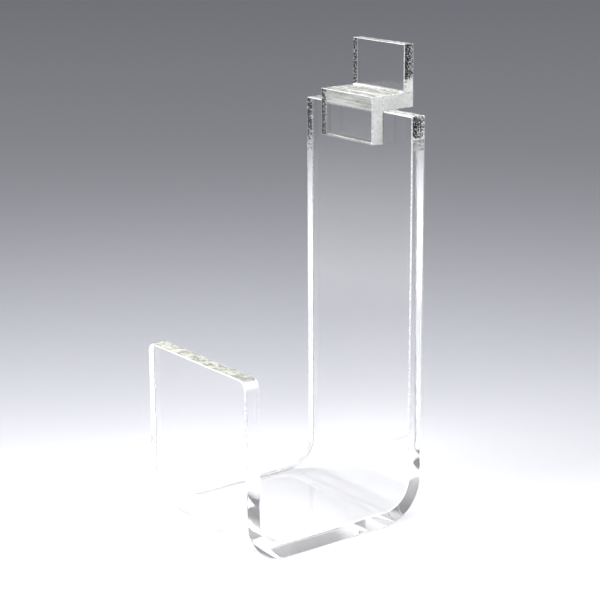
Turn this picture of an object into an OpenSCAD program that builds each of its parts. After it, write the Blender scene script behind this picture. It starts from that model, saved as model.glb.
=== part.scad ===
// Clear acrylic stand for a phone or a headphone: one sheet, heat-bent twice into a J, with a stepped
// clip of three flat plates cemented to the top edge of its back panel.
// The origin is on the surface it stands on, at the centre of the outline. +Y is the back, +X the right.

/* [Bent sheet] */
// Width of the sheet, left to right
sheet_w = 90; // [60:1:140]
// Depth from the front lip's front face to the back panel's rear face
sheet_d = 116.5; // [90:0.5:160]
// Height of the back panel
panel_h = 223; // [150:1:300]
// Height of the front lip
lip_h = 101; // [50:1:140]
// Thickness of the sheet
sheet_t = 9; // [5:0.5:10]
// Outside radius of the two bends
bend_r = 25; // [14:1:30]
// Radius of the front lip's two top corners
lip_corner_r = 5; // [1:0.5:15]
// Radius of the back panel's two top corners
panel_corner_r = 1; // [0.5:0.5:5]

/* [Clip] */
// Width of the clip's three plates
clip_w = 43.5; // [20:0.5:60]
// Thickness of the front tab
front_tab_t = 7.5; // [3:0.5:8]
// Thickness of the upper tab
upper_tab_t = 6.5; // [3:0.5:8]
// Height of the front tab and of the upper tab
tab_h = 25.5; // [18:0.5:40]
// Thickness of the shelf plate
shelf_t = 8; // [5:1:10]
// How far the shelf plate runs back past the back panel
overhang = 11.5; // [8:0.5:30]

/* [Cement] */
// Thickness of each cured cement layer
cement_t = 0.2; // [0.1:0.05:0.5]

/* [Resolution] */
// Facets of a full circle
circle_fn = 96; // [48:12:180]

/* [Hidden] */

acrylic = [0.86, 0.90, 0.92, 0.35];
cement = [0.93, 0.93, 0.86, 0.70];

// Places along Y, from the front to the back
lip_y = -(sheet_d + overhang) / 2;
panel_back_y = lip_y + sheet_d;
panel_front_y = panel_back_y - sheet_t;
rear_y = panel_back_y + overhang;

// Places along Z, from the panel's top edge upwards
shelf_z = panel_h + cement_t;
shelf_top_z = shelf_z + shelf_t;
front_tab_z = shelf_top_z - tab_h;
upper_tab_z = shelf_top_z + cement_t;

// How far a cutting shape passes through what it cuts
cut = 1;

// A bend seen from the side: the lower quarter of a ring about the origin, on the left for side -1
// and on the right for side 1
module bend_profile(side) {
    intersection() {
        difference() {
            circle(r = bend_r, $fn = circle_fn);
            circle(r = bend_r - sheet_t, $fn = circle_fn);
        }
        translate([side < 0 ? -bend_r : 0, -bend_r]) square(bend_r);
    }
}

// The sheet seen from the side: X is the stand's Y, and Y is its Z
module sheet_profile() {
    translate([lip_y, bend_r]) square([sheet_t, lip_h - bend_r]);
    translate([lip_y + bend_r, bend_r]) bend_profile(-1);
    translate([lip_y + bend_r, 0]) square([sheet_d - 2 * bend_r, sheet_t]);
    translate([panel_back_y - bend_r, bend_r]) bend_profile(1);
    translate([panel_front_y, bend_r]) square([sheet_t, panel_h - bend_r]);
}

// What is cut from an upright wall to round its right-hand top corner by r: the wall's middle is at
// y = 0 and its top at z = 0
module corner_waste(r) {
    translate([sheet_w / 2 - r, 0, -r])
        rotate([90, 0, 0])
            linear_extrude(height = sheet_t + 2 * cut, center = true)
                difference() {
                    square(r + cut);
                    circle(r = r, $fn = circle_fn);
                }
}

// What is cut from both top corners of an upright wall whose middle is at y and whose top is at z
module top_corners_waste(y, z, r) {
    for (turn = [0, 1])
        mirror([turn, 0, 0])
            translate([0, y, z]) corner_waste(r);
}

// A flat block as wide as the clip, centred on X, with its low corner at y and z
module clip_block(y, z, depth, height) {
    translate([-clip_w / 2, y, z]) cube([clip_w, depth, height]);
}

module bent_sheet() {
    color(acrylic)
        difference() {
            rotate([90, 0, 90])
                linear_extrude(height = sheet_w, center = true) sheet_profile();
            top_corners_waste(lip_y + sheet_t / 2, lip_h, lip_corner_r);
            top_corners_waste(panel_front_y + sheet_t / 2, panel_h, panel_corner_r);
        }
}

module front_tab() {
    color(acrylic) clip_block(panel_front_y - cement_t - front_tab_t, front_tab_z, front_tab_t, tab_h);
}

module shelf_plate() {
    color(acrylic) clip_block(panel_front_y, shelf_z, sheet_t + overhang, shelf_t);
}

module upper_tab() {
    color(acrylic) clip_block(rear_y - upper_tab_t, upper_tab_z, upper_tab_t, tab_h);
}

module panel_cement() {
    color(cement) clip_block(panel_front_y - cement_t, front_tab_z, cement_t, shelf_z - front_tab_z);
}

module edge_cement() {
    color(cement) clip_block(panel_front_y, panel_h, sheet_t, cement_t);
}

module corner_cement() {
    color(cement) clip_block(panel_front_y - cement_t, shelf_z, cement_t, shelf_t);
}

module tab_cement() {
    color(cement) clip_block(rear_y - upper_tab_t, shelf_top_z, upper_tab_t, cement_t);
}

bent_sheet();
front_tab();
shelf_plate();
upper_tab();
panel_cement();
edge_cement();
corner_cement();
tab_cement();
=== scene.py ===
"""Clear acrylic stand for a phone or a headphone: a heat-bent sheet and a clip of cemented plates.

Every acrylic piece is rebuilt as a fine mesh inside its CAD solid. It is made flat, with a rounded outline,
rounded arrises and slightly wavy edges, and is then laid in place, so that clear acrylic has true surfaces
to bend light at. The cement layers are made in the same way, but reach a hair into the plates on either
side. Three beads of squeezed-out cement are added, which have no CAD node.
"""

import math
from types import SimpleNamespace

import bmesh
import bpy
from mathutils import Matrix, Vector, noise


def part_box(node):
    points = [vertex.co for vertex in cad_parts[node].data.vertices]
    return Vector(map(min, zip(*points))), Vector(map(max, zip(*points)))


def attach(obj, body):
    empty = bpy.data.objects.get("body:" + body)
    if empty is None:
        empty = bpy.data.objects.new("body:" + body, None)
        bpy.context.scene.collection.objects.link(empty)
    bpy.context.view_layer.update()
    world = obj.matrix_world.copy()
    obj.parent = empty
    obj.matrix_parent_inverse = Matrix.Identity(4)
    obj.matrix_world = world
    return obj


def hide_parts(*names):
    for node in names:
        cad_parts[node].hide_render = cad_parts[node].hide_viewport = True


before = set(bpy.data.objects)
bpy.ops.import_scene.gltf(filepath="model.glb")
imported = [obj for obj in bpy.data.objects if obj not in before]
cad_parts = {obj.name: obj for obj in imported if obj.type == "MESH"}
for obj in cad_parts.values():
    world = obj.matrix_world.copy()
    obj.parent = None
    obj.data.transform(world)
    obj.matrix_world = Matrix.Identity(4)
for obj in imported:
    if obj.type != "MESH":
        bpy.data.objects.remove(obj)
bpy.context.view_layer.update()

MM = 0.001
FILM_OVERLAP = 0.02 * MM  # how far a cement film reaches into the plates beside it, so that no air shows


# ---------------------------------------------------------------- sizes, from the frame

def measure_sheet():
    """The bent sheet's own sizes, read from its CAD solid."""
    low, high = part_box("bent_sheet")
    cement_low, cement_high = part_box("edge_cement")
    corners = [v.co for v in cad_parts["bent_sheet"].data.vertices]
    middle_y = (low.y + high.y) / 2
    thickness = cement_high.y - cement_low.y
    lip_top = max(c.z for c in corners if c.y < middle_y)
    bend_radius = min(c.z for c in corners if c.y < low.y + 0.01 * MM)
    mid_radius = bend_radius - thickness / 2
    bend_length = mid_radius * math.pi / 2
    lip_length = lip_top - bend_radius
    base_length = high.y - low.y - 2 * bend_radius
    panel_length = high.z - bend_radius
    return SimpleNamespace(
        low=low,
        high=high,
        thickness=thickness,
        half_width=high.x,
        lip_top=lip_top,
        bend_radius=bend_radius,
        mid_radius=mid_radius,
        bend_length=bend_length,
        lip_length=lip_length,
        base_length=base_length,
        length=lip_length + base_length + panel_length + 2 * bend_length,
    )


SHEET = measure_sheet()
LIP_CORNER = 5 * MM
PANEL_CORNER = 1 * MM
CLIP_CORNER = 0.35 * MM


def add_object(name, data):
    """An object in the scene that shows a mesh, a light or a camera."""
    made = bpy.data.objects.new(name, data)
    bpy.context.scene.collection.objects.link(made)
    return made


# ---------------------------------------------------------------- camera, light and floor

# The camera's place, roll and lens were fitted to the object's corners as the photo shows them.
VIEW_AZIMUTH = math.radians(53.154)


def make_camera():
    azimuth = VIEW_AZIMUTH
    elevation = math.radians(15.267)
    roll = math.radians(-0.32)
    distance = 0.9442
    target = Vector((0.00685, -0.00077, 0.12466))
    away = Vector((
        math.sin(azimuth) * math.cos(elevation),
        -math.cos(azimuth) * math.cos(elevation),
        math.sin(elevation),
    ))
    data = bpy.data.cameras.new("camera")
    data.lens = 106.63
    data.sensor_width = 36
    data.clip_start = 0.01
    data.clip_end = 50
    camera = add_object("camera", data)
    camera.location = target + away * distance
    facing = (-away).to_track_quat("-Z", "Y").to_matrix()
    camera.rotation_euler = (facing @ Matrix.Rotation(roll, 3, "Z")).to_euler()
    bpy.context.scene.camera = camera


def soft_box(name, place, aim, size, power, spread=180):
    """A rectangular area light at place, facing aim, its rays within a cone of spread degrees."""
    data = bpy.data.lights.new(name, "AREA")
    data.spread = math.radians(spread)
    data.shape = "RECTANGLE"
    data.size, data.size_y = size
    data.energy = power
    light = add_object(name, data)
    light.location = place
    light.rotation_euler = (Vector(aim) - Vector(place)).to_track_quat("-Z", "Y").to_euler()


def make_lights():
    soft_box("top_light", (-0.15, -0.1, 1.4), (0, 0, 0.1), (0.8, 0.8), 4.5, spread=70)
    soft_box("front_light", (-0.35, -1.3, 1.0), (0, 0, 0.1), (0.9, 0.9), 17)
    soft_box("right_light", (1.35, 0.15, 1.0), (0, 0, 0.1), (0.9, 0.9), 6.5)


class Graph:
    """A small helper that adds nodes to a node tree and links them."""

    def __init__(self, tree, material=None):
        self.tree = tree
        self.material = material
        self.shader = tree.nodes.get("Principled BSDF")

    def node(self, kind, values=None, **settings):
        made = self.tree.nodes.new(kind)
        for key, value in settings.items():
            setattr(made, key, value)
        for key, value in (values or {}).items():
            if isinstance(value, bpy.types.NodeSocket):
                self.tree.links.new(value, made.inputs[key])
            else:
                made.inputs[key].default_value = value
        return made

    def place(self, scale=(1, 1, 1)):
        """Object coordinates in millimetres, stretched by scale."""
        coordinates = self.node("ShaderNodeTexCoord").outputs["Object"]
        factors = [s / MM for s in scale]
        return self.vector("MULTIPLY", coordinates, factors)

    def noise(self, vector, scale, detail=2.0, roughness=0.5):
        values = {"Vector": vector, "Scale": scale, "Detail": detail, "Roughness": roughness}
        return self.node("ShaderNodeTexNoise", values).outputs["Fac"]

    def math(self, operation, a, b=0.0):
        return self.node("ShaderNodeMath", {0: a, 1: b}, operation=operation).outputs[0]

    def vector(self, operation, a, b=(0, 0, 0), c=(0, 0, 0), output="Vector"):
        return self.node("ShaderNodeVectorMath", {0: a, 1: b, 2: c}, operation=operation).outputs[output]

    def triple(self, value):
        return self.node("ShaderNodeCombineXYZ", {0: value, 1: value, 2: value}).outputs[0]

    def spread(self, value, low_in, high_in, low_out, high_out, ease="LINEAR"):
        """Maps low_in to high_in onto low_out to high_out, and holds the ends beyond them."""
        values = {
            "Value": value,
            "From Min": low_in,
            "From Max": high_in,
            "To Min": low_out,
            "To Max": high_out,
        }
        return self.node("ShaderNodeMapRange", values, interpolation_type=ease).outputs[0]

    def mix(self, factor, color_a, color_b):
        values = {0: factor, 6: color_a, 7: color_b}
        return self.node("ShaderNodeMix", values, data_type="RGBA").outputs[2]

    def bump(self, height, strength, distance):
        values = {"Height": height, "Strength": strength, "Distance": distance}
        return self.node("ShaderNodeBump", values).outputs[0]

    def set(self, **values):
        """Sets the shader's inputs, with _ for a space in a socket's name."""
        for key, value in values.items():
            socket = self.shader.inputs[key.replace("_", " ")]
            if isinstance(value, bpy.types.NodeSocket):
                self.tree.links.new(value, socket)
            else:
                socket.default_value = value


def new_material(name):
    material = bpy.data.materials.new(name)
    material.use_nodes = True
    return Graph(material.node_tree, material)


SKY_HORIZON = 0.10
SKY_LOW = 0.23
SKY_HIGH = 1.05
SKY_LOW_HEIGHT = 0.3  # the sine of the angle above the horizon at which the sky is at SKY_LOW
SKY_HIGH_HEIGHT = 0.7
SKY_BLUE = 1.03


def make_world():
    """A soft dome: bright overhead and dim near the horizon."""
    world = bpy.data.worlds.new("world")
    world.use_nodes = True
    graph = Graph(world.node_tree)
    direction = graph.node("ShaderNodeTexCoord").outputs["Generated"]
    height = graph.node("ShaderNodeSeparateXYZ", {0: direction}).outputs[2]
    low_band = graph.spread(height, 0.0, SKY_LOW_HEIGHT, SKY_HORIZON, SKY_LOW)
    high_band = graph.spread(height, SKY_LOW_HEIGHT, SKY_HIGH_HEIGHT, SKY_LOW, SKY_HIGH)
    level = graph.math("MAXIMUM", low_band, high_band)
    blue = graph.math("MULTIPLY", level, SKY_BLUE)
    sky = graph.node("ShaderNodeCombineXYZ", {0: level, 1: level, 2: blue})
    graph.tree.links.new(sky.outputs[0], graph.tree.nodes["Background"].inputs["Color"])
    bpy.context.scene.world = world


# The floor's albedo. Depth runs to the back as the camera sees it, and side across the picture, both in
# metres. The far, glow and tail values were fitted to the photo's background, and the others set one by one.
PAPER_FAR = (0.090, 0.094, 0.111)  # added everywhere, for red, green and blue
# painted light: the glow and the tail brighten the floor round the stand and fade to the back as light falls
# off
PAINTED_LIGHT_GLOW = 0.237
PAINTED_LIGHT_REACH = (0.202, 0.202, 0.210)  # how far to the back the glow has halved
PAINTED_LIGHT_TAIL = 0.133  # a weaker painted glow that reaches further
PAINTED_LIGHT_TAIL_REACH = 3.39
PAPER_HALF_WIDTH = 1.05  # where the glow and the wings end to the sides
PAPER_HALF_WIDTH_BLUR = 0.40
PAINTED_LIGHT_WING = 0.48  # the level of the painted light on the floor outside the picture, beside the stand and before it
PAINTED_LIGHT_WING_SIDE = (0.28, 0.45)  # where the wings begin beside the stand
PAINTED_LIGHT_WING_BEFORE = (-0.30, -0.15)  # and where they begin before it
PAINTED_LIGHT_WING_DEPTH = (0.3, 0.75)  # where they fade to the back
PAINTED_LIGHT_WING_FADE = (0.5, 1.1)  # where they weaken to the sides
PAINTED_LIGHT_WING_OUTER = 0.7  # and to what share
PAINTED_LIGHT_HOT = 0.56  # a spot of painted light under the stand, which whitens away its shadow
PAINTED_LIGHT_HOT_REACH = 0.11
PAINTED_LIGHT_HOT_SPOT = (0.02, -0.03, 0)
FLOOR_HALF = 8.0  # half of the floor's width
FLOOR_DROP = 0.05 * MM  # how far it lies below the stand, so that the two don't share a surface


# Painted light on the floor, fading to the back.
def painted_light_glow(graph, depth):
    ratio = graph.vector("DIVIDE", graph.triple(depth), PAINTED_LIGHT_REACH)
    lower = graph.vector("MULTIPLY_ADD", ratio, ratio, (1, 1, 1))
    return graph.vector("DIVIDE", (PAINTED_LIGHT_GLOW,) * 3, lower)


def painted_light_tail(graph, depth):
    drop = graph.math("POWER", graph.math("DIVIDE", depth, PAINTED_LIGHT_TAIL_REACH), 2.0)
    return graph.math("DIVIDE", PAINTED_LIGHT_TAIL, graph.math("ADD", drop, 1.0))


# Painted light: a brighter floor beside and before the stand, which the clear edges show as white.
def painted_light_wing(graph, side, forward, depth):
    beside = graph.spread(side, *PAINTED_LIGHT_WING_SIDE, 0.0, 1.0)
    before = graph.spread(forward, *PAINTED_LIGHT_WING_BEFORE, 1.0, 0.0)
    shallow = graph.spread(depth, *PAINTED_LIGHT_WING_DEPTH, PAINTED_LIGHT_WING, 0.0)
    fading = graph.spread(side, *PAINTED_LIGHT_WING_FADE, 1.0, PAINTED_LIGHT_WING_OUTER)
    place = graph.math("MAXIMUM", beside, before)
    return graph.math("MULTIPLY", place, graph.math("MULTIPLY", shallow, fading))


# Painted light: a bright spot on the floor under the stand, which hides the stand's shadow.
def painted_light_hot_spot(graph, place):
    near = graph.vector("DISTANCE", place, PAINTED_LIGHT_HOT_SPOT, output="Value")
    drop = graph.math("POWER", graph.math("DIVIDE", near, PAINTED_LIGHT_HOT_REACH), 2.0)
    fall = graph.math("EXPONENT", graph.math("MULTIPLY", drop, -1.0))
    return graph.math("MULTIPLY", fall, PAINTED_LIGHT_HOT)


def floor_material():
    """Pale paper with painted light: white round the stand, greying gently to the back and past its width to
    the sides.
    """
    graph = new_material("floor_paper_painted_light")
    place = graph.node("ShaderNodeTexCoord").outputs["Object"]
    turned = graph.node(
        "ShaderNodeVectorRotate", {"Vector": place, "Angle": -VIEW_AZIMUTH}, rotation_type="Z_AXIS"
    ).outputs[0]
    parts = graph.node("ShaderNodeSeparateXYZ", {0: turned}).outputs
    side = graph.math("ABSOLUTE", parts[0])
    depth = graph.math("MAXIMUM", parts[1], 0.0)
    # the wings, glow, hot spot and tail are painted light laid on the paper's own level
    wing = graph.triple(painted_light_wing(graph, side, parts[1], depth))
    outer = (PAPER_HALF_WIDTH - PAPER_HALF_WIDTH_BLUR, PAPER_HALF_WIDTH + PAPER_HALF_WIDTH_BLUR)
    inside = graph.triple(graph.spread(side, *outer, 1.0, 0.0, "SMOOTHSTEP"))
    bright = graph.vector("MULTIPLY", graph.vector("MAXIMUM", painted_light_glow(graph, depth), wing), inside)
    rest = graph.triple(graph.math("ADD", painted_light_hot_spot(graph, place), painted_light_tail(graph, depth)))
    color = graph.vector("ADD", graph.vector("ADD", bright, PAPER_FAR), rest)
    graph.set(Base_Color=color, Roughness=0.9, Specular_IOR_Level=0.2)
    return graph.material


def make_floor():
    half = FLOOR_HALF
    corners = [(-half, -half, 0), (half, -half, 0), (half, half, 0), (-half, half, 0)]
    mesh = bpy.data.meshes.new("floor")
    mesh.from_pydata(corners, [], [(0, 1, 2, 3)])
    mesh.materials.append(floor_material())
    floor = add_object("floor", mesh)
    floor.location.z = -FLOOR_DROP


# ---------------------------------------------------------------- materials of the object

ACRYLIC_IOR = 1.54  # fitted to the stripes in the panel's edge, where acrylic itself has 1.49


def clear_face():
    """Cast acrylic as it leaves the mould: clear, glossy, with the faintest haze of wiping."""
    graph = new_material("acrylic_face")
    haze = graph.noise(graph.place(), 0.05, 4.0)
    graph.set(
        Base_Color=(1, 1, 1, 1),
        IOR=ACRYLIC_IOR,
        Transmission_Weight=1.0,
        Roughness=graph.spread(haze, 0.4, 0.8, 0.0, 0.02),
    )
    return graph.material


def flame_edge():
    """An edge made clear with a flame: glossy, with the faint waves that the flame leaves."""
    graph = new_material("acrylic_flame_edge")
    waves = graph.noise(graph.place(), 0.12, 2.0)
    graph.set(
        Base_Color=(1, 1, 1, 1),
        IOR=ACRYLIC_IOR,
        Transmission_Weight=1.0,
        Roughness=0.0,
        Normal=graph.bump(waves, 0.15, 0.3 * MM),
    )
    return graph.material


FINE_SAW = ((1, 1, 1), 0.43)  # the stretch of the noise for chips and painted shade, and the noise level below which chips lie
COARSE_SAW = ((1, 0.3, 1.0), 0.475)
SAW_PAINTED_SHADE = (0.44, 0.53)  # the noise levels between which the painted shade sets in
SAW_CHIP_BLUR = 0.1
SAW_PAINTED_SHADE_COVER = 0.93  # how much of the clear acrylic a speck of painted shade hides
SAW_CHIP_COVER = 0.9


def sawn_edge_painted_shade(name, front_y, back_y, low_z, lean, more, saw=FINE_SAW, fade=2 * MM):
    """A sawn edge: clear between white chips and near-black specks of painted shade, which stand in for
    the dark surroundings seen through the rough edge. The painted specks begin at low_z and are at
    their densest fade above it. lean is how much they favour the front face; more, how much they crowd."""
    stretch, chip_level = saw
    graph = new_material(name)
    place = graph.place()
    parts = graph.node("ShaderNodeSeparateXYZ", {0: place}).outputs
    grain = graph.noise(graph.place(stretch), 1.15, 3.0, 0.6)
    forward = graph.spread(parts[1], front_y / MM, back_y / MM, lean + more, more - lean)
    high = graph.spread(parts[2], low_z / MM, (low_z + fade) / MM, -0.2, 0.0)
    level = graph.math("ADD", graph.math("ADD", grain, forward), high)
    painted_shade = graph.spread(level, *SAW_PAINTED_SHADE, 0.0, 1.0)
    chips = graph.spread(level, chip_level - SAW_CHIP_BLUR, chip_level, 1.0, 0.0)
    painted_shade_cover = graph.math("MULTIPLY", painted_shade, SAW_PAINTED_SHADE_COVER)
    cover = graph.math("MAXIMUM", painted_shade_cover, graph.math("MULTIPLY", chips, SAW_CHIP_COVER))
    graph.set(
        # the near-black is painted shade, the pale white is the chips
        Base_Color=graph.mix(painted_shade, (0.92, 0.92, 0.91, 1), (0.012, 0.011, 0.016, 1)),
        IOR=ACRYLIC_IOR,
        Specular_IOR_Level=0.1,
        Transmission_Weight=graph.math("SUBTRACT", 1.0, cover),
        Roughness=graph.spread(level, 0.35, 0.6, 0.35, 0.15),
        Normal=graph.bump(grain, 0.5, 0.4 * MM),
    )
    return graph.material


def milky_edge():
    """A sanded edge: an opaque, milky pale grey with fine cutting lines."""
    graph = new_material("acrylic_milky_edge")
    lines = graph.noise(graph.place((0.06, 0.35, 0.5)), 0.9, 2.0)
    share = graph.spread(lines, 0.35, 0.6, 0.0, 1.0)
    tone = graph.mix(share, (0.64, 0.65, 0.63, 1), (0.75, 0.75, 0.74, 1))
    graph.set(
        Base_Color=tone,
        IOR=ACRYLIC_IOR,
        Transmission_Weight=0.0,
        Roughness=graph.spread(lines, 0.35, 0.6, 0.35, 0.45),
    )
    return graph.material


def hazed_edge():
    """A scraped top edge: mostly clear, with a yellowish haze in long streaks."""
    graph = new_material("acrylic_hazed_edge")
    streaks = graph.noise(graph.place((0.10, 0.5, 1)), 0.8, 3.0)
    share = graph.spread(streaks, 0.4, 0.6, 0.0, 1.0)
    graph.set(
        Base_Color=graph.mix(share, (0.80, 0.80, 0.74, 1), (0.97, 0.97, 0.93, 1)),
        IOR=ACRYLIC_IOR,
        Transmission_Weight=0.82,
        Roughness=graph.spread(streaks, 0.4, 0.65, 0.15, 0.4),
    )
    return graph.material


def wavy_edge():
    """The lip's top edge: flame-softened, part clear and part milky, slightly yellow."""
    graph = new_material("acrylic_wavy_edge")
    patches = graph.noise(graph.place((1, 1.6, 1)), 0.2, 2.0)
    share = graph.spread(patches, 0.4, 0.6, 0.0, 1.0)
    tone = graph.mix(share, (0.84, 0.85, 0.76, 1), (0.68, 0.70, 0.58, 1))
    graph.set(
        Base_Color=tone,
        IOR=ACRYLIC_IOR,
        Transmission_Weight=graph.spread(patches, 0.42, 0.58, 0.9, 0.5),
        Roughness=0.1,
    )
    return graph.material


def cloudy_face():
    """The shelf's broad faces: acrylic hazed by the cement's fumes, with brushed streaks."""
    graph = new_material("acrylic_cloudy_face")
    streaks = graph.noise(graph.place((0.12, 0.6, 1)), 0.8, 3.0)
    share = graph.spread(streaks, 0.4, 0.6, 0.0, 1.0)
    graph.set(
        Base_Color=graph.mix(share, (0.66, 0.67, 0.62, 1), (0.95, 0.95, 0.91, 1)),
        IOR=ACRYLIC_IOR,
        Transmission_Weight=0.68,
        Roughness=graph.spread(streaks, 0.4, 0.65, 0.12, 0.35),
    )
    return graph.material


def arris():
    """The rounded corner of an edge: scraped, satin and half clear. It catches the light as a white line."""
    graph = new_material("acrylic_arris")
    grain = graph.noise(graph.place(), 1.5, 2.0)
    graph.set(
        Base_Color=(0.90, 0.905, 0.90, 1),
        IOR=ACRYLIC_IOR,
        Transmission_Weight=0.5,
        Roughness=graph.spread(grain, 0.3, 0.7, 0.15, 0.35),
    )
    return graph.material


def clear_cement():
    """A cement layer that has cured clear, with a few hazy patches of bubbles."""
    graph = new_material("cement_clear")
    bubbles = graph.noise(graph.place(), 0.9, 3.0)
    graph.set(
        Base_Color=(0.99, 0.99, 0.98, 1),
        IOR=ACRYLIC_IOR,
        Transmission_Weight=1.0,
        Roughness=graph.spread(bubbles, 0.6, 0.8, 0.0, 0.25),
    )
    return graph.material


def milky_cement():
    """A cement layer that has cured milky, in long streaks between clearer ones."""
    graph = new_material("cement_milky")
    streaks = graph.noise(graph.place((0.05, 0.7, 0.9)), 0.9, 3.0)
    bubbles = graph.noise(graph.place(), 1.5, 4.0)
    share = graph.spread(streaks, 0.36, 0.54, 0.0, 1.0)
    graph.set(
        Base_Color=graph.mix(share, (0.82, 0.83, 0.78, 1), (0.99, 0.99, 0.96, 1)),
        IOR=ACRYLIC_IOR,
        Transmission_Weight=graph.spread(streaks, 0.36, 0.54, 0.45, 0.05),
        Roughness=graph.spread(bubbles, 0.4, 0.65, 0.1, 0.5),
        Normal=graph.bump(bubbles, 0.3, 0.15 * MM),
    )
    return graph.material


def make_looks():
    makers = (
        clear_face, flame_edge, milky_edge, hazed_edge, wavy_edge, cloudy_face, arris,
        clear_cement, milky_cement,
    )
    return {make.__name__: make() for make in makers}


# ---------------------------------------------------------------- plates

ARRIS_STEPS = 4
CORNER_STEPS = 10
# The material slots of a plate. Only the sheet has the last three.
FACE, RIGHT, LEFT, FAR_END, NEAR_END, ARRIS, UPPER, RIDGE, UPPER_LEFT = range(9)


def outline_of(length, half_width, corners, step, end_cells):
    """The flat outline as (centre u, centre v, normal u, normal v, radius, slot), and how many of its points
    make up one long side. It runs up the +v side, across the far end, down the -v side and back across the
    near end. A point that stands in by e is at centre + (radius - e) * normal."""
    near, far = corners
    side = []
    for k in range(CORNER_STEPS + 1):
        turn = math.pi / 2 * k / CORNER_STEPS
        side.append((near, half_width - near, -math.cos(turn), math.sin(turn), near))
    straight = length - near - far
    rows = max(2, round(straight / step))
    side += [(near + straight * k / rows, half_width, 0, 1, 0) for k in range(1, rows)]
    for k in range(CORNER_STEPS + 1):
        turn = math.pi / 2 * k / CORNER_STEPS
        side.append((length - far, half_width - far, math.sin(turn), math.cos(turn), far))
    ends = []
    for at, normal, corner in ((length, 1, far), (0, -1, near)):
        reach = half_width - corner
        ends.append([(at, reach * (1 - 2 * k / end_cells), normal, 0, 0) for k in range(1, end_cells)])
    outline = [(*p, RIGHT) for p in side]
    outline += [(*p, FAR_END) for p in ends[0]]
    outline += [(u, -v, nu, -nv, r, LEFT) for u, v, nu, nv, r in reversed(side)]
    outline += [(*p, NEAR_END) for p in reversed(ends[1])]
    return outline, len(side)


def section_of(thickness, arris, dome, layers):
    """The edge seen end on, as (how far it stands in, place through the thickness), from face to face."""
    half = thickness / 2
    section = []
    for k in range(ARRIS_STEPS + 1):
        turn = math.pi / 2 * k / ARRIS_STEPS
        section.append((arris * (1 - math.sin(turn)), half - arris * (1 - math.cos(turn))))
    section += [(0, (half - arris) * (1 - 2 * k / layers)) for k in range(1, layers)]
    section += [(e, -w) for e, w in reversed(section[: ARRIS_STEPS + 1])]
    return [(e + dome * (w / half) ** 2, w) for e, w in section]


def flat_face(points, outline, start, rows, cells, end_cells, inset, w, place):
    """The faces inside one ring of the outline: a grid of wide cells, and at both ends a strip that joins
    them to the outline's narrow ones."""
    count = len(outline)
    grid = []
    for row in range(rows):
        left, right = start + row, start + 2 * rows + end_cells - 2 - row
        if row == 0:
            across = [start + count - k for k in range(1, end_cells)]
        elif row == rows - 1:
            across = [start + rows - 1 + k for k in range(1, end_cells)]
        else:
            cu, cv, nu, nv, radius, _ = outline[row]
            u, v = cu + (radius - inset) * nu, cv + (radius - inset) * nv
            across = range(len(points), len(points) + cells - 1)
            points += [place(u, v * (1 - 2 * k / cells), w) for k in range(1, cells)]
        grid.append([left, *across, right])
    share = end_cells // cells
    faces = []
    for row in range(rows - 1):
        upper, lower = grid[row], grid[row + 1]
        for k in range(cells):
            near = upper[k * share: (k + 1) * share + 1] if row == 0 else upper[k: k + 2]
            far = lower[k * share: (k + 1) * share + 1] if row == rows - 2 else lower[k: k + 2]
            loop = [*near, *reversed(far)]
            faces.append(loop if w > 0 else loop[::-1])
    return faces


def plate_points(outline, section, place, wave):
    """The points of every ring of the edge, from one face to the other."""
    full = section[0][0]
    points = []
    for inset, w in section:
        share = 1 - inset / full
        for cu, cv, nu, nv, radius, slot in outline:
            out = radius - inset
            if share > 0:
                out -= share * wave(place(cu + out * nu, cv + out * nv, w), slot)
            points.append(place(cu + out * nu, cv + out * nv, w))
    return points


def edge_faces(points, outline, rings, paint):
    """The faces between the rings, and the material slot of each."""
    count = len(outline)
    faces = []
    slots = []
    for k in range(rings - 1):
        is_arris = k < ARRIS_STEPS or k >= rings - 1 - ARRIS_STEPS
        for i in range(count):
            j = (i + 1) % count
            faces.append((k * count + i, k * count + j, (k + 1) * count + j, (k + 1) * count + i))
            slot = ARRIS if is_arris else max(outline[i][5], outline[j][5])
            slots.append(paint(points[k * count + i], slot) if paint else slot)
    return faces, slots


def build_plate(name, size, corners, edge, step, cells, place, wave, paint=None):
    """A plate with rounded arrises, laid in place by place(u, v, w), where w runs through the thickness.
    edge is its arris radius, dome and layers, and cells how many cells cross a face and each end's share.
    wave(point, slot) is how far the edge stands in at a point, and paint(point, slot) may change a slot."""
    length, half_width, thickness = size
    end_cells = cells[0] * cells[1]
    outline, rows = outline_of(length, half_width, corners, step, end_cells)
    section = section_of(thickness, *edge)
    inset = section[0][0]
    points = plate_points(outline, section, place, wave)
    faces, slots = edge_faces(points, outline, len(section), paint)
    for layer in (0, len(section) - 1):
        start = layer * len(outline)
        w = section[layer][1]
        flat = flat_face(points, outline, start, rows, cells[0], end_cells, inset, w, place)
        faces += flat
        slots += [FACE] * len(flat)
    mesh = bpy.data.meshes.new(name)
    mesh.from_pydata(points, [], faces)
    mesh.polygons.foreach_set("material_index", slots)
    mesh.polygons.foreach_set("use_smooth", [True] * len(faces))
    mesh.validate()
    piece = add_object(name, mesh)
    weighted = piece.modifiers.new("weighted_normals", "WEIGHTED_NORMAL")
    weighted.weight = 90
    return piece


def ripple(point, size, depth, seed):
    """A smooth wave of about that size and depth at a point."""
    return depth * noise.noise(point / size + Vector((seed, seed * 1.7, seed * 0.3)))


# ---------------------------------------------------------------- the bent sheet

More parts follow.
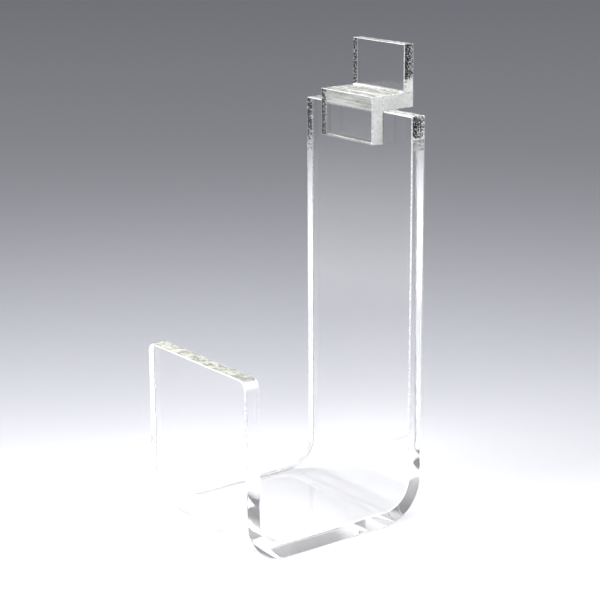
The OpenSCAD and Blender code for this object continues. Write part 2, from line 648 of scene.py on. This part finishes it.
def sheet_place(u, v, w):
    """Lays the flat sheet along its J: u runs from the lip's top over both bends to the panel's top, and
    w is positive on the outer side."""
    s = SHEET
    bend_1 = s.lip_length
    base = bend_1 + s.bend_length
    bend_2 = base + s.base_length
    panel = bend_2 + s.bend_length
    radius = s.mid_radius + w
    if u <= bend_1:
        return Vector((v, s.low.y + s.thickness / 2 - w, s.lip_top - u))
    if u <= base:
        turn = (u - bend_1) / s.mid_radius
        y = s.low.y + s.bend_radius - radius * math.cos(turn)
        return Vector((v, y, s.bend_radius - radius * math.sin(turn)))
    if u <= bend_2:
        return Vector((v, s.low.y + s.bend_radius + u - base, s.thickness / 2 - w))
    if u <= panel:
        turn = (u - bend_2) / s.mid_radius
        y = s.high.y - s.bend_radius + radius * math.sin(turn)
        return Vector((v, y, s.bend_radius - radius * math.cos(turn)))
    return Vector((v, s.high.y - s.thickness / 2 + w, s.bend_radius + u - panel))


ROUGH_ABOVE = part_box("front_tab")[0].z + 4.5 * MM  # the panel's right edge is polished below this height
RIDGE_WIDTH = 0.9 * MM
LEFT_ROUGH_DROP = 17 * MM  # on the left edge the polish ends that much lower
LEFT_ROUGH_FADE = 9 * MM
SHEET_EDGE = (0.6 * MM, 0.05 * MM, 18)  # arris radius, dome and layers
SHEET_STEP = 0.5 * MM
SHEET_CELLS = (12, 14)
LIP_TOP_WAVES = (12 * MM, 0.7 * MM, 3)  # size, depth and seed
PANEL_TOP_WAVES = (4 * MM, 0.10 * MM, 3)
FLAME_WAVES = (14 * MM, 0.02 * MM, 1)
SAW_WAVES = (1.6 * MM, 0.12 * MM, 2)
SCRAPE = 0.06 * MM  # what flame and saw each take off a long edge


def sheet_wave(point, slot):
    """How far the sheet's edge stands in at a point. The ridge between its two finishes stands proud."""
    if slot == NEAR_END:
        return abs(ripple(point, *LIP_TOP_WAVES))
    if slot == FAR_END:
        return abs(ripple(point, *PANEL_TOP_WAVES))
    if ROUGH_ABOVE < point.z < ROUGH_ABOVE + RIDGE_WIDTH:
        return 0
    depth = SCRAPE + ripple(point, *FLAME_WAVES)
    if point.z > ROUGH_ABOVE:
        depth += SCRAPE + ripple(point, *SAW_WAVES)
    return max(depth, 0)


def sheet_paint(point, slot):
    """Gives the panel's long edges a sawn finish with painted shade near the top. On the right a ridge lies
    below it.
    """
    if slot == LEFT and point.z > ROUGH_ABOVE - LEFT_ROUGH_DROP:
        return UPPER_LEFT
    if slot != RIGHT or point.z < ROUGH_ABOVE:
        return slot
    return RIDGE if point.z < ROUGH_ABOVE + RIDGE_WIDTH else UPPER


def make_bent_sheet(looks):
    size = (SHEET.length, SHEET.half_width, SHEET.thickness)
    piece = build_plate(
        "bent_sheet_clear", size, (LIP_CORNER, PANEL_CORNER), SHEET_EDGE, SHEET_STEP, SHEET_CELLS,
        sheet_place, sheet_wave, sheet_paint,
    )
    panel_front, panel_back = SHEET.high.y - SHEET.thickness, SHEET.high.y
    left_low = ROUGH_ABOVE - LEFT_ROUGH_DROP
    # the panel's sawn edges get specks of painted shade
    right_saw_shade = sawn_edge_painted_shade("acrylic_sawn_painted_shade_panel_right", panel_front, panel_back, ROUGH_ABOVE, 0.08, 0.0)
    left_saw_shade = sawn_edge_painted_shade(
        "acrylic_sawn_painted_shade_panel_left", panel_front, panel_back, left_low, 0.06, 0.06, COARSE_SAW, LEFT_ROUGH_FADE
    )
    side, hazed, arris = looks["flame_edge"], looks["hazed_edge"], looks["arris"]
    materials = (
        looks["clear_face"], side, side, hazed, looks["wavy_edge"], arris, right_saw_shade, arris, left_saw_shade
    )
    finish_piece(piece, materials, "bent_sheet")


# ---------------------------------------------------------------- the clip

CLIP_EDGE = (0.45 * MM, 0.03 * MM, 16)
FILM_EDGE = (0.05 * MM, 0.0, 4)
CLIP_STEP = 0.3 * MM
CLIP_CELLS = (12, 10)
ROUGH_WAVES = ((1.3 * MM, 0.12 * MM), (5 * MM, 0.05 * MM))  # sizes and depths of the ripples
MILD_WAVES = ((4 * MM, 0.04 * MM),)
FILM_WAVES = ((2 * MM, 0.05 * MM),)


def make_block(name, node, thin_axis, materials, edge, grow, seed, ripples):
    """A flat plate in its CAD node's box, its thickness along thin_axis and grown by grow along that axis.
    ripples gives the sizes and depths of the ripples on its edges."""
    low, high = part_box(node)
    low[thin_axis] -= grow
    high[thin_axis] += grow
    size = high - low
    centre = (low + high) / 2
    other = 2 if thin_axis == 1 else 1
    toward = 1 if thin_axis == 1 else -1

    def place(u, v, w):
        spot = Vector((v, 0, 0))
        spot[other] = low[other] + u
        spot[thin_axis] = centre[thin_axis] + w * toward
        return spot

    def wave(point, slot):
        depth = sum(d / 2 + ripple(point, s, d, seed + s) for s, d in ripples)
        return max(depth, 0)

    piece = build_plate(
        name, (size[other], size.x / 2, size[thin_axis]), (CLIP_CORNER, CLIP_CORNER), edge,
        CLIP_STEP, CLIP_CELLS, place, wave,
    )
    finish_piece(piece, materials, node)


def finish_piece(piece, materials, node):
    for material in materials:
        piece.data.materials.append(material)
    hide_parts(node)
    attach(piece, "root")


def sawn_painted_shade_look(node, side, clear_height, lean, more, saw=FINE_SAW):
    """Sawn edge with painted shade for a side of a clip plate, clear up to clear_height above its lower end.
    """
    low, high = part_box(node)
    name = "acrylic_sawn_painted_shade_" + node + "_" + side
    return sawn_edge_painted_shade(name, low.y, high.y, low.z + clear_height, lean, more, saw)


def make_clip(looks):
    face, cloudy, milky = looks["clear_face"], looks["cloudy_face"], looks["milky_edge"]
    arris, hazed = looks["arris"], looks["hazed_edge"]
    # the sawn sides get specks of painted shade
    front_left = sawn_painted_shade_look("front_tab", "left", -5 * MM, 0.09, 0.05, COARSE_SAW)
    upper_left = sawn_painted_shade_look("upper_tab", "left", -5 * MM, 0.02, 0.05, COARSE_SAW)
    upper_right = sawn_painted_shade_look("upper_tab", "right", 6 * MM, 0.09, 0.02)
    front = (face, milky, front_left, hazed, arris, arris)
    shelf = (cloudy, milky, milky, milky, milky, arris)
    upper = (face, upper_right, upper_left, hazed, milky, arris)
    make_block("front_tab_clear", "front_tab", 1, front, CLIP_EDGE, 0, 11, MILD_WAVES)
    make_block("shelf_plate_clear", "shelf_plate", 2, shelf, CLIP_EDGE, 0, 17, MILD_WAVES)
    make_block("upper_tab_clear", "upper_tab", 1, upper, CLIP_EDGE, 0, 23, ROUGH_WAVES)
    clear = (looks["clear_cement"],) * 6
    milk = (looks["milky_cement"],) * 6
    films = (("panel", 1, clear), ("edge", 2, milk), ("corner", 1, milk), ("tab", 2, milk))
    for joint, thin_axis, cement in films:
        node = joint + "_cement"
        make_block(node + "_film", node, thin_axis, cement, FILM_EDGE, FILM_OVERLAP, 31, FILM_WAVES)


# ---------------------------------------------------------------- cement squeezed out along the joints

BEAD_SIDES = 12
BEAD_RINGS = 120
BEAD_TAPER_RINGS = 4  # over how many rings an end narrows
BEAD_TIP = 0.3  # the share of the radius left at the very end
BEAD_SWELL = 0.6  # how much of the radius the lumps may add or take off
BEAD_LUMP = 2 * MM  # the size of a lump
BEAD_END_GAP = 0.3 * MM  # how far a bead stops short of the clip's side


def bead_loops(bm, y, z, radius, seed):
    """The rings of a bead's corners, from one side of the clip to the other."""
    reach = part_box("shelf_plate")[1].x - BEAD_END_GAP
    turns = [2 * math.pi * i / BEAD_SIDES for i in range(BEAD_SIDES)]
    loops = []
    for k in range(BEAD_RINGS + 1):
        x = reach * (2 * k / BEAD_RINGS - 1)
        swell = 1 + BEAD_SWELL * noise.noise(Vector((x / BEAD_LUMP, seed, 0)))
        taper = min(1, BEAD_TIP + (1 - BEAD_TIP) * min(k, BEAD_RINGS - k) / BEAD_TAPER_RINGS)
        size = radius * swell * taper
        loops.append([bm.verts.new((x, y + size * math.cos(t), z + size * math.sin(t))) for t in turns])
    return loops


def make_bead(name, y, z, radius, seed, cement):
    """A lumpy thread of cured cement along a joint of the clip."""
    bm = bmesh.new()
    loops = bead_loops(bm, y, z, radius, seed)
    for upper, lower in zip(loops, loops[1:]):
        for i in range(BEAD_SIDES):
            j = (i + 1) % BEAD_SIDES
            bm.faces.new((upper[i], upper[j], lower[j], lower[i]))
    bm.faces.new(loops[0][::-1])
    bm.faces.new(loops[-1])
    bmesh.ops.recalc_face_normals(bm, faces=bm.faces)
    mesh = bpy.data.meshes.new(name)
    bm.to_mesh(mesh)
    bm.free()
    mesh.polygons.foreach_set("use_smooth", [True] * len(mesh.polygons))
    mesh.materials.append(cement)
    bead = add_object(name, mesh)
    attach(bead, "root")


def make_beads(looks):
    cement = looks["milky_cement"]
    front_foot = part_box("panel_cement")
    panel_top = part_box("edge_cement")
    tab_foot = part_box("tab_cement")
    make_bead("front_bead", front_foot[1].y, front_foot[0].z, 0.6 * MM, 5, cement)
    make_bead("rear_bead", panel_top[1].y, panel_top[0].z, 0.45 * MM, 9, cement)
    make_bead("tab_bead", tab_foot[0].y, tab_foot[1].z, 0.5 * MM, 13, cement)


# ---------------------------------------------------------------- the scene

BOUNCES = 96  # light crosses the clear edges many times before it leaves

make_camera()
make_lights()
make_world()
make_floor()
looks = make_looks()
make_bent_sheet(looks)
make_clip(looks)
make_beads(looks)
bpy.context.scene.view_settings.view_transform = "Standard"
bpy.context.scene.cycles.glossy_bounces = BOUNCES
bpy.context.scene.cycles.max_bounces = BOUNCES
bpy.context.scene.cycles.transmission_bounces = BOUNCES
